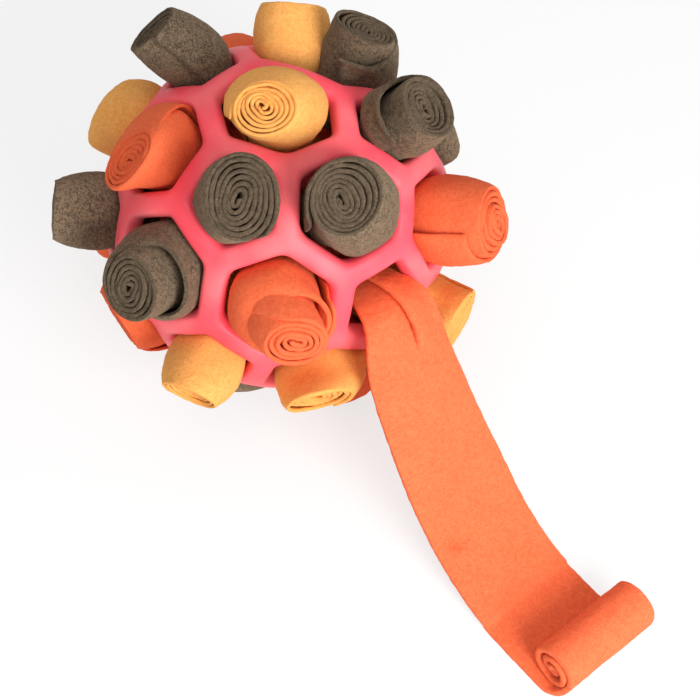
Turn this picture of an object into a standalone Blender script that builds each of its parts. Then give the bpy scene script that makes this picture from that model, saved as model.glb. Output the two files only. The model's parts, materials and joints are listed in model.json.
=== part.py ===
"""Dog puzzle ball: a hollow rubber lattice ball with rolled fleece strips stuffed in its holes.

It stands on the plane Z = 0, with the ball's centre on the Z axis. The open strip runs out of one hole,
down to that plane. Each roll is a plain round body in the outer shape of its cloth. Azimuths are seen
from above: 0 is -Y and 90 is +X.
Run it with blender --background --python part.py, or from Blender's text editor.
"""

import math

import bmesh
import bpy
import numpy as np
from mathutils import Matrix, Vector
from mathutils.bvhtree import BVHTree

# Sizes, in metres
BALL_RADIUS = 0.075
WALL = 0.0095
RIB_WIDTH = 0.0106
ROLL_INNER_REACH = 0.059  # from the ball's centre to a roll's inner end
ROLL_RADIUS = 0.0199  # in a six-sided hole
SMALL_ROLL_RADIUS = 0.0176  # in a five-sided hole
STAND_OUT = 0.023  # how far a full roll stands out of the rubber
REST_HEIGHT = 0.080  # the ball's centre above the surface
FOOT_CUT = 0.0005
SEAT_GAP = 0.0003
SEAT_TRAVEL = 0.009  # the farthest that a roll moves sideways in its hole
STRIP_WIDTH = 0.048
CLOTH = 0.0026
END_ROLL_RADIUS = 0.0120
END_ROLL_GAP = 0.0009  # between the turns of the open strip's end
END_ROLL_REACH = 0.131  # from the ball's round to the middle of the end roll
GATHER_RISE = 0.0050  # height of the folds where the strip fills its hole
FLOOR_CUTTER = 0.240

# How the cloth hangs from its hole: distance out from the ball's round, place sideways, and height
# against the ball's centre
STRIP_ROUTE = [
    (-0.0190, -0.0010, 0.0120),
    (-0.0100, -0.0012, 0.0145),
    (-0.0025, -0.0016, 0.0160),
    (0.0040, -0.0024, 0.0150),
    (0.0115, -0.0042, 0.0090),
    (0.0195, -0.0060, 0.0005),
    (0.0290, -0.0072, -0.0130),
    (0.0410, -0.0077, -0.0300),
    (0.0550, -0.0077, -0.0480),
    (0.0700, -0.0077, -0.0630),
    (0.0850, -0.0077, -0.0725),
    (0.0980, -0.0077, -0.0770),
]

# Counts
ROLL_SIDES = 16
TURN_POINTS = 9  # in each turn of the open strip's end
STRIP_STATIONS = 22
STRIP_BANDS = 4
END_TURNS = 2.7
RIB_SMOOTHING = 1
ROUTE_STEPS = 12
CENTRING_STEPS = 80
SEATING_ROUNDS = 11

# Angles, in degrees
TOP_HOLE_CORNER_AZIMUTH = -23.0
STRIP_AZIMUTH = 38.8
DOUBLE_HOLE = (155.0, 48.0)
DOUBLE_SPREAD = 12.8
PRESS_DOWN = -90.0

# Shares of other sizes
STRETCH_ALONG_SHARE = 0.64
STRETCH_ACROSS_SHARE = 0.50
STRETCH_SHIFT_SHARE = -0.035
STRETCH_REACH = 0.725  # radians on the sphere
BELLY_LEAN_SHARE = 0.25
END_TILT_SHARE = 1.5
END_RADIUS_SHARE = 0.80
BELLY_SHARE = 0.44  # of the way from the rubber to a roll's end
FLARE_SHARE = 0.42  # how fast a roll widens there, against its length
CENTRING_SHARES = (0.02, 0.95)  # the first step of a search, and the share of each next one
SHOULDER_SHARE = 0.6  # of the way from a roll's belly to its end
NARROWING_SHARE = 0.98  # each time that a roll still touches the rubber
GATHER_SHARE = 0.50  # width of the strip in its hole
SPREAD_SHARE = 1.2  # distance over which the strip reaches its full width, in half widths

# Colour, roughness of each finish
FINISHES = {
    "rubber": ((0.90, 0.10, 0.12, 1.0), 0.45),
    "brown": ((0.075, 0.060, 0.042, 1.0), 0.95),
    "orange": ((0.82, 0.15, 0.05, 1.0), 0.95),
    "yellow": ((0.85, 0.42, 0.10, 1.0), 0.95),
}

# The holes from the top down: azimuth and height of the hole, colour of its roll, share of the full
# stand-out, how far its outer end leans east and up in degrees seen from the ball's centre, the share
# of the full end face, and the way in which it lies against the rubber, in degrees from east to up.
ROLLS = [
    ((0, 90), "yellow", 0.87, -3, -11.5, 0.84, -15),
    ((-23, 52), "brown", 1.00, 5.5, 2, 1.20, -50),
    ((97, 52), "brown", 1.00, -3.5, 4, 1.18, -45),
    ((217, 52), "brown", 1.08, 7, 0, 1.10, -10),
    ((37, 48), "brown", 0.96, -10, 6.5, 0.88, -80),
    ((277, 48), "orange", 0.75, 11.5, 1, 0.92, 45),
    ((-1, 19), "orange", 0.83, 4.5, -0.5, 1.00, 120),
    ((75, 19), "orange", 0.96, -3, 2, 1.05, 90),
    ((119, 19), "brown", 0.50, 0, -4, 1.00, 90),
    ((195, 19), "orange", 0.50, 0, -4, 1.00, 90),
    ((240, 19), "yellow", 0.70, 3, -4, 1.00, 45),
    ((315, 19), "brown", 0.91, 4.5, 3.5, 0.98, 80),
    ((157, 11), "orange", 0.90, 0, -3, 1.00, -90),
    ((277, 11), "brown", 1.00, 7, 8, 1.12, 57),
    ((-23, -11), "yellow", 0.83, 1, 6, 1.10, 90),
    ((97, -11), "yellow", 0.90, -3, 2, 1.00, -90),
    ((217, -11), "brown", 0.90, 3, 3, 1.00, -90),
    ((15, -19), "yellow", 0.60, -4, 11, 0.95, 90),
    ((59, -19), "yellow", 0.60, -1, 11, 1.00, 110),
    ((135, -19), "brown", 0.90, 2, 2, 1.00, -90),
    ((179, -19), "yellow", 0.90, -3, 2, 1.00, -90),
    ((255, -19), "orange", 0.50, 2, 0, 1.00, 90),
    ((299, -19), "orange", 0.28, 2, 4, 1.00, 90),
    ((97, -48), "orange", 0.48, 0, 2, 1.00, -90),
    ((217, -48), "yellow", 0.48, 2, 2, 1.00, -90),
    ((-23, -48), "brown", 0.15, -8, 0, 1.00, -90),
]
FEET = [((37, -52), "orange"), ((157, -52), "brown"), ((277, -52), "yellow")]
DOUBLE_ROLLS = [
    ("yellow", 1.0, 0.62, 0, -1, 1.05, -90),
    ("brown", -1.0, 0.85, 1.5, 9.5, 1.05, 0),
]


def clear_scene():
    for obj in list(bpy.data.objects):
        bpy.data.objects.remove(obj, do_unlink=True)


def collection_named(name):
    made = bpy.data.collections.new(name)
    bpy.context.scene.collection.children.link(made)
    return made


def finish_named(name):
    material = bpy.data.materials.get(name)
    if material is None:
        colour, roughness = FINISHES[name]
        material = bpy.data.materials.new(name)
        material.use_nodes = True
        shader = material.node_tree.nodes["Principled BSDF"]
        shader.inputs["Base Color"].default_value = colour
        shader.inputs["Roughness"].default_value = roughness
        shader.inputs["Metallic"].default_value = 0.0
    return material


def direction(azimuth, height):
    """The unit vector at an azimuth and a height above the horizon, both in degrees."""
    a = math.radians(azimuth)
    h = math.radians(height)
    return Vector((math.cos(h) * math.sin(a), -math.cos(h) * math.cos(a), math.sin(h)))


def local_axes(axis, azimuth):
    """A rotation whose Z is the axis, whose X points east and whose Y points up."""
    a = math.radians(azimuth)
    east = Vector((math.cos(a), math.sin(a), 0))
    east = (east - axis * east.dot(axis)).normalized()
    north = axis.cross(east)
    return Matrix((east, north, axis)).transposed().to_4x4()


def stretched(point):
    """A direction from the ball's centre, moved as two rolls in one hole stretch the rubber."""
    axis = direction(*DOUBLE_HOLE)
    turned = local_axes(axis, DOUBLE_HOLE[0])
    east, north = turned.col[0].to_3d(), turned.col[1].to_3d()
    unit = point.normalized()
    pull = math.exp(-((unit.angle(axis) / STRETCH_REACH) ** 2))
    along = STRETCH_ALONG_SHARE * unit.dot(east) + STRETCH_SHIFT_SHARE
    across = STRETCH_ACROSS_SHARE * unit.dot(north)
    return (unit + east * (pull * along) + north * (pull * across)).normalized()


def hole_sides(corners):
    """For each side of a hole, the unit vector across it that points into the hole."""
    inward = sum(corners, Vector())
    sides = []
    for first, second in zip(corners, corners[1:] + corners[:1]):
        side = first.cross(second).normalized()
        sides.append(side if side.dot(inward) > 0 else -side)
    return sides


def hole_middle(start, sides):
    """The direction farthest from every side: it moves from the nearest side in ever smaller steps."""
    axis = start
    step, ease = CENTRING_SHARES
    for _ in range(CENTRING_STEPS):
        nearest = min(sides, key=lambda side: side.dot(axis))
        axis = (axis + nearest * step).normalized()
        step *= ease
    return axis


def hole_layout():
    """Twelve five-sided and twenty six-sided faces round the wall's middle, and their holes."""
    middle = BALL_RADIUS - WALL / 2
    bm = bmesh.new()
    bmesh.ops.create_icosphere(bm, subdivisions=1, radius=middle)
    top = max(bm.faces, key=lambda face: face.calc_center_median().z)
    upright = top.calc_center_median().rotation_difference(Vector((0, 0, 1)))
    bmesh.ops.rotate(bm, verts=bm.verts[:], matrix=upright.to_matrix())
    corner = top.verts[0].co
    spin = math.radians(TOP_HOLE_CORNER_AZIMUTH) - math.atan2(corner.x, -corner.y)
    bmesh.ops.rotate(bm, verts=bm.verts[:], matrix=Matrix.Rotation(spin, 3, "Z"))
    third = bm.edges[:][0].calc_length() / 3
    bmesh.ops.bevel(
        bm, geom=bm.verts[:], offset=third, offset_type="OFFSET", segments=1,
        profile=0.5, affect="VERTICES", material=-1,
    )
    places = [face.calc_center_median().normalized() for face in bm.faces]
    for vert in bm.verts:
        vert.co = stretched(vert.co) * middle
    holes = []
    for place, face in zip(places, bm.faces):
        sides = hole_sides([vert.co for vert in face.verts])
        holes.append({"place": place, "axis": hole_middle(place, sides), "sides": sides})
    return bm, holes


def hole_at(holes, azimuth, height):
    wanted = direction(azimuth, height)
    return max(holes, key=lambda hole: hole["place"].dot(wanted))


def clear_radius(hole, axis):
    """The radius of the round body that passes the hole along the axis, at the wall's middle."""
    least = min(side.dot(axis) for side in hole["sides"])
    return (BALL_RADIUS - WALL / 2) * least - RIB_WIDTH / 2 - SEAT_GAP


def make_ball(bm, parts, centre):
    """Ribs from bevelled edges, given a wall and rounded, then set to the true inner and outer radius."""
    middle = BALL_RADIUS - WALL / 2
    bmesh.ops.bevel(
        bm, geom=bm.edges[:], offset=RIB_WIDTH / 2, offset_type="OFFSET", segments=1,
        profile=0.5, affect="EDGES", material=-1,
    )
    wide = [face for face in bm.faces if len(face.verts) > 4]
    bmesh.ops.delete(bm, geom=wide, context="FACES")
    for vert in bm.verts:
        vert.co = vert.co.normalized() * middle
    cage_mesh = bpy.data.meshes.new("ball_cage")
    bm.to_mesh(cage_mesh)
    bm.free()
    cage = bpy.data.objects.new("ball_cage", cage_mesh)
    parts.objects.link(cage)
    wall = cage.modifiers.new("wall", "SOLIDIFY")
    wall.thickness = WALL
    wall.offset = 0
    rounding = cage.modifiers.new("rounding", "SUBSURF")
    rounding.levels = RIB_SMOOTHING
    rounding.render_levels = RIB_SMOOTHING
    bpy.context.view_layer.update()
    graph = bpy.context.evaluated_depsgraph_get()
    mesh = bpy.data.meshes.new_from_object(cage.evaluated_get(graph))
    bpy.data.objects.remove(cage, do_unlink=True)
    bm = bmesh.new()
    bm.from_mesh(mesh)
    bmesh.ops.triangulate(bm, faces=bm.faces[:])
    bm.to_mesh(mesh)
    bm.free()
    reaches = [vert.co.length for vert in mesh.vertices]
    low, high = min(reaches), max(reaches)
    for vert, reach in zip(mesh.vertices, reaches):
        share = (reach - low) / (high - low)
        vert.co = vert.co * ((BALL_RADIUS - WALL + share * WALL) / reach)
    mesh.name = "rubber_ball"
    mesh.shade_smooth()
    mesh.materials.clear()
    mesh.materials.append(finish_named("rubber"))
    ball = bpy.data.objects.new("rubber_ball", mesh)
    parts.objects.link(ball)
    ball.parent = centre
    return ball


def least_gap(points, cloth):
    """The smallest distance between two turns of a spiral, less the cloth's thickness."""
    line = np.array([tuple(point) for point in points])
    least = math.inf
    for i, point in enumerate(line):
        for j in range(len(line) - 1):
            if abs(i - j) < TURN_POINTS - 2 or abs(i - j - 1) < TURN_POINTS - 2:
                continue
            run = line[j + 1] - line[j]
            share = np.clip(np.dot(point - line[j], run) / np.dot(run, run), 0, 1)
            least = min(least, float(np.linalg.norm(point - line[j] - share * run)))
    return least - cloth


def roll_levels(room, full, reach, lean_angle, end_share):
    """Radius, distance from the ball's centre, place sideways and tilt of a roll, inner end first."""
    middle = BALL_RADIUS - WALL / 2
    belly_reach = middle + (reach - middle) * BELLY_SHARE
    shift = belly_reach * math.tan(lean_angle) * BELLY_LEAN_SHARE
    inside, outside = middle - ROLL_INNER_REACH, belly_reach - middle
    neck = room - shift * inside / (inside + outside)
    belly = min(full, neck + outside * FLARE_SHARE)
    inner = neck - (belly - neck) * inside / outside
    end = belly * END_RADIUS_SHARE * end_share
    leaned = reach * math.tan(lean_angle)
    tilts = (lean_angle * BELLY_LEAN_SHARE, lean_angle * END_TILT_SHARE)
    way = SHOULDER_SHARE
    return [
        (inner, ROLL_INNER_REACH, 0.0, 0.0),
        (belly, belly_reach, shift, tilts[0]),
        (
            belly + (end - belly) * way**2,
            belly_reach + (reach - belly_reach) * way,
            shift + (leaned - shift) * way,
            tilts[0] + (tilts[1] - tilts[0]) * way,
        ),
        (end, reach, leaned, tilts[1]),
    ]


def make_roll(room, full, name, colour, azimuth, axis, reach, lean, end_share, parts, centre):
    """A rolled strip: narrow inside the ball, squeezed by its hole, full outside, drawn in at its end."""
    middle = BALL_RADIUS - WALL / 2
    lean_angle = math.radians(math.hypot(*lean))
    lean_way = Vector((lean[0], lean[1], 0)).normalized() if lean_angle else Vector((1, 0, 0))
    tilt_axis = Vector((0, 0, 1)).cross(lean_way)
    places = []
    for radius, far, sideways, tilt in roll_levels(room, full, reach, lean_angle, end_share):
        place = Matrix.Translation(lean_way * sideways + Vector((0, 0, far - middle)))
        place = place @ Matrix.Rotation(tilt, 4, tilt_axis)
        places.append(place @ Matrix.Scale(radius, 4))
    bm = bmesh.new()
    ring = bmesh.ops.create_circle(bm, segments=ROLL_SIDES, radius=1)["verts"]
    edges = bm.edges[:]
    bmesh.ops.transform(bm, matrix=places[0], verts=ring)
    for before, here in zip(places, places[1:]):
        made = bmesh.ops.extrude_edge_only(bm, edges=edges)["geom"]
        ring = [item for item in made if isinstance(item, bmesh.types.BMVert)]
        edges = [
            item for item in made
            if isinstance(item, bmesh.types.BMEdge) and all(v in ring for v in item.verts)
        ]
        bmesh.ops.transform(bm, matrix=here @ before.inverted(), verts=ring)
    bmesh.ops.holes_fill(bm, edges=bm.edges[:], sides=0)
    bmesh.ops.triangulate(bm, faces=bm.faces[:])
    bmesh.ops.recalc_face_normals(bm, faces=bm.faces[:])
    mesh = bpy.data.meshes.new(name)
    bm.to_mesh(mesh)
    bm.free()
    mesh.materials.append(finish_named(colour))
    roll = bpy.data.objects.new(name, mesh)
    parts.objects.link(roll)
    roll.parent = centre
    roll.matrix_local = Matrix.Translation(axis * middle) @ local_axes(axis, azimuth)
    return roll


def surface_of(obj):
    """The object's finished points, and its faces for the search of the nearest one, seen from the ball."""
    bpy.context.view_layer.update()
    evaluated = obj.evaluated_get(bpy.context.evaluated_depsgraph_get())
    mesh = evaluated.to_mesh()
    points = [obj.matrix_local @ vert.co for vert in mesh.vertices]
    faces = [tuple(face.vertices) for face in mesh.polygons]
    evaluated.to_mesh_clear()
    return points, BVHTree.FromPolygons(points, faces)


def touches(surface, neighbours):
    return any(surface[1].overlap(other[1]) for other in neighbours)


def seat_roll(roll, press, neighbours):
    """Narrows a roll until it is clear, then presses it sideways to a seat gap from what holds it."""
    surface = surface_of(roll)
    while touches(surface, neighbours):
        roll.data.transform(Matrix.Diagonal((NARROWING_SHARE, NARROWING_SHARE, 1, 1)))
        surface = surface_of(roll)
    angle = math.radians(press)
    way = roll.matrix_local.to_3x3() @ Vector((math.cos(angle), math.sin(angle), 0))
    start = roll.location.copy()
    clear, touching = 0.0, SEAT_TRAVEL
    for _ in range(SEATING_ROUNDS):
        move = (clear + touching) / 2
        roll.location = start + way * move
        if touches(surface_of(roll), neighbours):
            touching = move
        else:
            clear = move
    roll.location = start + way * (clear - SEAT_GAP)
    return surface_of(roll)


def foot_reach(axis):
    """How far a roll near the bottom reaches, so that its rim meets the surface."""
    rim = ROLL_RADIUS * END_RADIUS_SHARE * math.hypot(axis.x, axis.y)
    return (REST_HEIGHT + FOOT_CUT - rim) / -axis.z


def strip_line():
    """The middle line of the open strip: hanging, lying, and rolled up at its end."""
    flat = CLOTH / 2 - REST_HEIGHT
    last, aside, low = STRIP_ROUTE[-1]
    route = STRIP_ROUTE + [(last + (low - flat) * 2, aside, flat), (END_ROLL_REACH, aside, flat)]
    route = [Vector((BALL_RADIUS + away, aside, up)) for away, aside, up in route]
    knots = [route[0] * 2 - route[1]] + route + [route[-1] * 2 - route[-2]]
    fine = []
    for before, here, there, after in zip(knots, knots[1:], knots[2:], knots[3:]):
        for t in np.linspace(0, 1, ROUTE_STEPS, endpoint=False):
            speed = there - before
            bend = before * 2 - here * 5 + there * 4 - after
            rest = here * 3 - before - there * 3 + after
            fine.append((here * 2 + speed * t + bend * t**2 + rest * t**3) / 2)
    fine = np.array([tuple(point) for point in fine + [route[-1]]])
    fine[:, 2] = np.maximum(fine[:, 2], flat)
    along = np.concatenate([[0], np.cumsum(np.linalg.norm(np.diff(fine, axis=0), axis=1))])
    places = np.linspace(0, along[-1], STRIP_STATIONS + 1)
    line = [Vector([float(np.interp(place, along, fine[:, k])) for k in range(3)]) for place in places]
    pitch = CLOTH + END_ROLL_GAP
    outer = END_ROLL_RADIUS - CLOTH / 2
    for i in range(1, round(END_TURNS * TURN_POINTS) + 1):
        turn = i / TURN_POINTS
        reach = outer - pitch * turn
        up = flat + outer - reach * math.cos(math.tau * turn)
        away = BALL_RADIUS + END_ROLL_REACH + reach * math.sin(math.tau * turn)
        line.append(Vector((away, aside, up)))
    return line


def make_open_strip(parts, centre):
    """The unrolled strip as one sheet: gathered in its hole, then hanging and lying flat."""
    line = strip_line()
    out = direction(STRIP_AZIMUTH, 0)
    side = Vector((0, 0, 1)).cross(out)
    full = STRIP_WIDTH / 2
    bm = bmesh.new()
    stations = len(line) - 1
    bmesh.ops.create_grid(bm, x_segments=stations, y_segments=STRIP_BANDS, size=full)
    for vert in bm.verts:
        i = round((vert.co.x / full + 1) / 2 * stations)
        j = round((vert.co.y / full + 1) / 2 * STRIP_BANDS)
        run = line[min(i + 1, stations)] - line[max(i - 1, 0)]
        run = Vector((run.x, run.z)).normalized()
        spread = min(max((line[i].x - BALL_RADIUS) / (full * SPREAD_SHARE), 0), 1)
        spread = spread * spread * (3 - 2 * spread)
        rise = GATHER_RISE * (1 - spread) if j % 2 else 0
        across = (j / STRIP_BANDS * 2 - 1) * full * (GATHER_SHARE + (1 - GATHER_SHARE) * spread)
        place = out * (line[i].x - run.y * rise) + side * (line[i].y + across)
        vert.co = place + Vector((0, 0, line[i].z + run.x * rise))
    bmesh.ops.recalc_face_normals(bm, faces=bm.faces[:])
    mesh = bpy.data.meshes.new("open_strip")
    bm.to_mesh(mesh)
    bm.free()
    mesh.materials.append(finish_named("orange"))
    strip = bpy.data.objects.new("open_strip", mesh)
    parts.objects.link(strip)
    cloth = strip.modifiers.new("cloth", "SOLIDIFY")
    cloth.thickness = CLOTH
    cloth.offset = 0
    cloth.use_even_offset = True
    strip.parent = centre
    return strip


def cut_flat(roll, cutter):
    cut = roll.modifiers.new("floor", "BOOLEAN")
    cut.operation = "DIFFERENCE"
    cut.object = cutter
    cut.solver = "EXACT"


def make_floor_cutter(cutters):
    bm = bmesh.new()
    bmesh.ops.create_cube(bm, size=FLOOR_CUTTER)
    bmesh.ops.translate(bm, verts=bm.verts[:], vec=(0, 0, -FLOOR_CUTTER / 2))
    mesh = bpy.data.meshes.new("floor_cutter")
    bm.to_mesh(mesh)
    bm.free()
    cutter = bpy.data.objects.new("floor_cutter", mesh)
    cutter.hide_render = True
    cutter.display_type = "WIRE"
    cutters.objects.link(cutter)
    return cutter


def main():
    clear_scene()
    parts = collection_named("dog_puzzle_ball")
    cutters = collection_named("cutters")
    centre = bpy.data.objects.new("ball_centre", None)
    centre.location = (0, 0, REST_HEIGHT)
    parts.objects.link(centre)
    bm, holes = hole_layout()
    ball = surface_of(make_ball(bm, parts, centre))
    cutter = make_floor_cutter(cutters)
    rolls = []

    def add_roll(
        colour, hole, azimuth, axis, reach, lean, end_share, press=PRESS_DOWN, room=ROLL_RADIUS, beside=()
    ):
        name = f"roll_{len(rolls) + 1:02d}_{colour}"
        small = len(hole["sides"]) == 5 or room < ROLL_RADIUS
        full = SMALL_ROLL_RADIUS if small else ROLL_RADIUS
        room = min(room, clear_radius(hole, axis))
        roll = make_roll(room, full, name, colour, azimuth, axis, reach, lean, end_share, parts, centre)
        rolls.append(roll)
        return roll, seat_roll(roll, press, [ball, *beside])

    for (azimuth, height), colour, out_share, east, up, end_share, press in ROLLS:
        hole = hole_at(holes, azimuth, height)
        reach = BALL_RADIUS + STAND_OUT * out_share
        add_roll(colour, hole, azimuth, hole["axis"], reach, (east, up), end_share, press)
    double = hole_at(holes, *DOUBLE_HOLE)
    beside = []
    for colour, side, out_share, east, up, end_share, press in DOUBLE_ROLLS:
        azimuth, height = DOUBLE_HOLE
        azimuth = azimuth + side * DOUBLE_SPREAD / math.cos(math.radians(height))
        axis = direction(azimuth, height)
        reach = BALL_RADIUS + STAND_OUT * out_share
        half_way = (BALL_RADIUS - WALL / 2) * math.sin(math.radians(DOUBLE_SPREAD)) - SEAT_GAP
        lean = (east, up)
        made = add_roll(
            colour, double, azimuth, axis, reach, lean, end_share, press, half_way, beside
        )
        beside.append(made[1])
    for (azimuth, height), colour in FEET:
        hole = hole_at(holes, azimuth, height)
        foot = add_roll(colour, hole, azimuth, hole["axis"], foot_reach(hole["axis"]), (0, 0), 1.0)
        cut_flat(foot[0], cutter)
    bottom = hole_at(holes, 0, -90)
    reach = REST_HEIGHT + FOOT_CUT
    pressed = add_roll("orange", bottom, 0, bottom["axis"], reach, (0, 0), 1 / END_RADIUS_SHARE)
    cut_flat(pressed[0], cutter)
    make_open_strip(parts, centre)
    end_gap = least_gap(strip_line()[STRIP_STATIONS:], CLOTH)
    print(f"least gap between the turns of the open strip's end: {end_gap * 1000:.2f} mm")


main()
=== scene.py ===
"""Dog puzzle ball, dressed: a rubber lattice ball, fleece rolls in its holes, and one strip drawn out.

The frame gives where each roll sits and which way it faces. Azimuths are seen from above, 0 is -Y and
90 is +X. A roll's own X points east, its Y up along the ball, and its Z out of its hole.
"""

import json
import math

import bmesh
import bpy
import numpy as np
from mathutils import Matrix, Vector, noise


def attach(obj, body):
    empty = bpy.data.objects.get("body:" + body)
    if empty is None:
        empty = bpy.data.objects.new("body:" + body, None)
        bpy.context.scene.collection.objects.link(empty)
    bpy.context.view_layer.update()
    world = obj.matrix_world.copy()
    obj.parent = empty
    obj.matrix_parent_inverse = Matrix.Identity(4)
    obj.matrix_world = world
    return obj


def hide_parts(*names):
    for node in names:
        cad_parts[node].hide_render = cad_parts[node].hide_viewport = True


# Sizes in metres, as in the solid part
BALL_RADIUS = 0.075
WALL = 0.0095
WALL_MIDDLE = BALL_RADIUS - WALL / 2
RIB_WIDTH = 0.0106
ROLL_INNER_REACH = 0.059
ROLL_RADIUS = 0.0199  # in a six-sided hole
SMALL_ROLL_RADIUS = 0.0176  # in a five-sided hole
STAND_OUT = 0.023
FOOT_CUT = 0.0005
SEAT_GAP = 0.0003
STRIP_WIDTH = 0.048
CLOTH = 0.0026
END_ROLL_RADIUS = 0.0120
END_ROLL_GAP = 0.0009
END_ROLL_REACH = 0.131  # from the ball's round to the middle of the end roll

# Sizes in metres that only the cloth and the soft rubber need
RIB_ROUNDING = 0.0030
SHARP_CORNER = 50  # degrees between faces, from which a corner of the rubber is rounded
ROLL_LENGTH = 0.0455  # the cloth goes on inside the ball, past the solid's inner end
DEEPEST_REACH = 0.0430  # no roll goes nearer to the ball's centre
NAP = 0.00022  # how far the pile lifts and dips
NAP_PATCHES = (0.0032, 0.0015)
NAP_FINE_SHARE = 0.7
STRIP_NAP_SHARE = 0.8  # the open strip's nap against that of the rolls
PRESS = 0.0006  # how far a roll swells into the rubber round it
RIM_SLACK = 0.0006  # how much narrower than its hole a leaning roll may be
TUCK_DEPTH = 0.0065  # how far the inner turns of a tucked roll lie below its end
TUCK_CLEARANCE = 0.0026
TUCK_BULGE = 0.003
TUCK_DIMPLE = 0.0022
SWELL_START = 0.004  # below the middle of the rubber
SWELL_RISE = 0.012

# The open strip: distance out from the ball's round, place to its right, and height from the ball's centre
STRIP_ROUTE = [
    (-0.0190, -0.0010, 0.0120),
    (-0.0100, -0.0012, 0.0145),
    (-0.0025, -0.0016, 0.0160),
    (0.0040, -0.0024, 0.0150),
    (0.0115, -0.0042, 0.0090),
    (0.0195, -0.0060, 0.0005),
    (0.0290, -0.0072, -0.0130),
    (0.0410, -0.0077, -0.0300),
    (0.0550, -0.0077, -0.0480),
    (0.0700, -0.0077, -0.0630),
    (0.0850, -0.0077, -0.0725),
    (0.0980, -0.0077, -0.0770),
]

# How wide the strip looks on its way: distance from the ball's axis, and width
STRIP_SEEN = [
    (0.056, 0.022), (0.065, 0.026), (0.0725, 0.030), (0.079, 0.0340), (0.0865, 0.0380),
    (0.104, 0.0438), (0.130, 0.0475), (0.145, 0.048),
]
STRIP_FOLD = 0.0050  # where the pleat lies, right of the strip's middle
STRIP_FOLD_RISE = 0.0048
FOLD_FULL = 0.003  # the pleat's width at which it stands to its full height
FOLD_FADE = 0.014  # past the pleat the rise fades over this width
PLEAT_END = 0.079  # from here on out the pleat opens, over the next distance
PLEAT_OPENING = 0.018
ARCH_SHARE = 0.62  # how low the edges hang, against what the strip is narrower by
ARCH_POWER = 2.2
RIPPLE = 0.0007
RIPPLES_A_METRE = 22
RIPPLE_CLEARANCE = 0.001
DENT_PLACE = (0.1435, -0.0135)  # distance from the ball's axis, and place to the right
DENT_SIZE = (0.0026, 0.0050)
DENT_DEPTH = 0.0032
END_DRIFT = 0.0045  # how far the end roll lies to the side
END_SWAY = 0.0008
DRIFT_TURNS = 0.35

# Shapes and shares, as in the solid part
TOP_HOLE_CORNER_AZIMUTH = -23.0
STRIP_AZIMUTH = 38.8
DOUBLE_HOLE = (155.0, 48.0)
DOUBLE_SPREAD = 12.8
STRETCH_ALONG_SHARE = 0.64
STRETCH_ACROSS_SHARE = 0.50
STRETCH_SHIFT_SHARE = -0.035
STRETCH_REACH = 0.725  # radians on the sphere
BELLY_LEAN_SHARE = 0.25
END_TILT_SHARE = 1.5
END_RADIUS_SHARE = 0.80
BELLY_SHARE = 0.44
FLARE_SHARE = 0.42
CENTRING_SHARES = (0.02, 0.95)
CENTRING_STEPS = 80
END_TURNS = 2.7

# How the cloth is wound and how it gives
INNER_SHARE = 0.88  # the cloth inside the ball, against its neck in the rubber
SEAT_SHARE = 0.3  # cloth fills its hole, so it lies nearer the hole's middle than the firm solid
LEAN_RISE = 1.6  # a roll stands straight in its hole and leans more and more above it
LEAST_SLOPE = 0.05  # a hole's side that lies nearly along a direction doesn't bound it
CORNER_LIMIT = 1.36  # the farthest that a hole's corner draws the cloth, against the neck
CORNER_FILL = 0.90  # how much of the way into a corner the outermost cloth goes
GRIP_SHARE = 1.4  # how far above and below the rubber's middle the hole shapes the cloth
CORE_SHARE = 0.6  # the first turn's start, in turns from the middle
CORE_SQUASH = 0.42  # how far the core is pressed long
CORE_SLIP = 0.10  # how far it lies off the middle
CORE_FADE = 1.5
CORE_TWIST = 0.35
SPARE_TURN = 0.5
LOOSE_TURNS = 1.3  # the outer turns that billow
UNEVEN_SHARE = 0.16  # of the way from turn to turn
UNEVEN_ROUND = 1.3  # how quickly the unevenness changes round the roll
UNEVEN_ALONG = 0.6  # and from turn to turn
THICKNESS_MEAN = 0.90
THICKNESS_PLAY = 0.10
EDGE_TURNS = 0.25  # over which a drawn or tucked wrap starts
TUCKED_TURNS = 1.15  # the outer turns that are drawn over the end
TUCK_ANGLE = 74.0  # how far round they are bent, in degrees
TUCK_START = 0.87  # of the way up the roll
TUCK_THINNING = 0.5
END_THINNING = 0.35
END_STEPS = 3  # the cloth thins over its last steps
CLOTH_SHARE = 0.95  # the cloth's thickness against the way from turn to turn
EDGE_CREASE = 0.40  # how sharp the cloth's edges stay when they are smoothed
CUT_EDGE = 0.999  # a flat grid's place from which it counts as the cloth's cut edge

# The waves of a ragged end: share, waves a turn, and a step from roll to roll that keeps them unlike
EDGE_WAVES = [(1.0, 1.7, 5.1), (0.3, 9.0, 3.3)]

# Steps from roll to roll: radians for the core, degrees for where the outer end and the long way lie
SQUASH_STEP = 2.2
SLIP_STEP = 1.9
FLAP_STEP = 77.0
OVAL_STEP = 53.0
SEED_STEP = 1.7
STRIP_SEED = 9.1

# How finely the cloth is made
STEPS_A_TURN = 26
ROLL_ROWS = 11
ROW_CROWDING = 1.7  # rows lie closer together towards the end that is seen
ROUTE_STEPS = 12
STRIP_STEPS = 190
STRIP_COLUMNS = 40
STRIP_SAMPLES = 321
STRIP_SMOOTHING = 8  # samples on each side

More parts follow.
